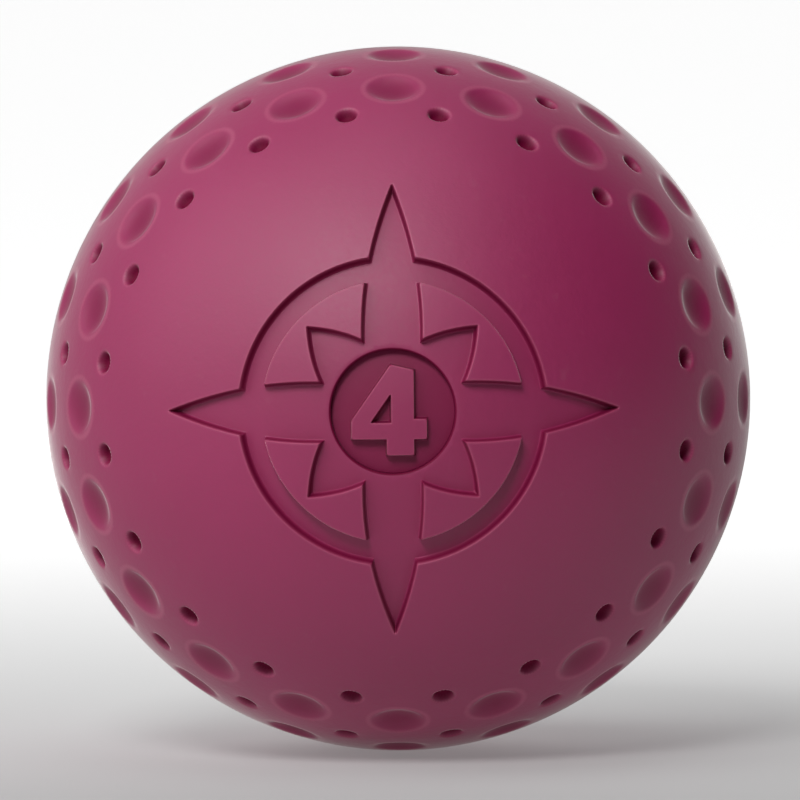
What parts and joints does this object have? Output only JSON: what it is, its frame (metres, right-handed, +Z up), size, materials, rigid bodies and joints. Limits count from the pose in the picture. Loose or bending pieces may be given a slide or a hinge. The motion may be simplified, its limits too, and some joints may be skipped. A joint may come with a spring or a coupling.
{
  "type": "numbered play ball",
  "caption": "Solid-feel moulded rubber ball with a raised numeral in a round window, a sunk compass-rose motif and rings of dimples and small pits round the seam.",
  "frame": {"origin": "centre of the ball", "axes": "+Z up; the front number faces -Y and stands upright, +X to its right; the seam lies in the plane Y = 0"},
  "size_m": [0.0572, 0.0558, 0.0572],
  "materials": {
    "cover_rubber": "matt moulded elastomer, slightly translucent, coloured right through",
    "disc_rubber": "the cover's colour and finish",
    "core_rubber": "dull dark rubber"
  },
  "bodies": {
    "root": {"cover_front": "cover_rubber", "cover_rear": "cover_rubber", "number_disc_front": "disc_rubber", "number_disc_rear": "disc_rubber", "core": "core_rubber"}
  },
  "joints": []
}
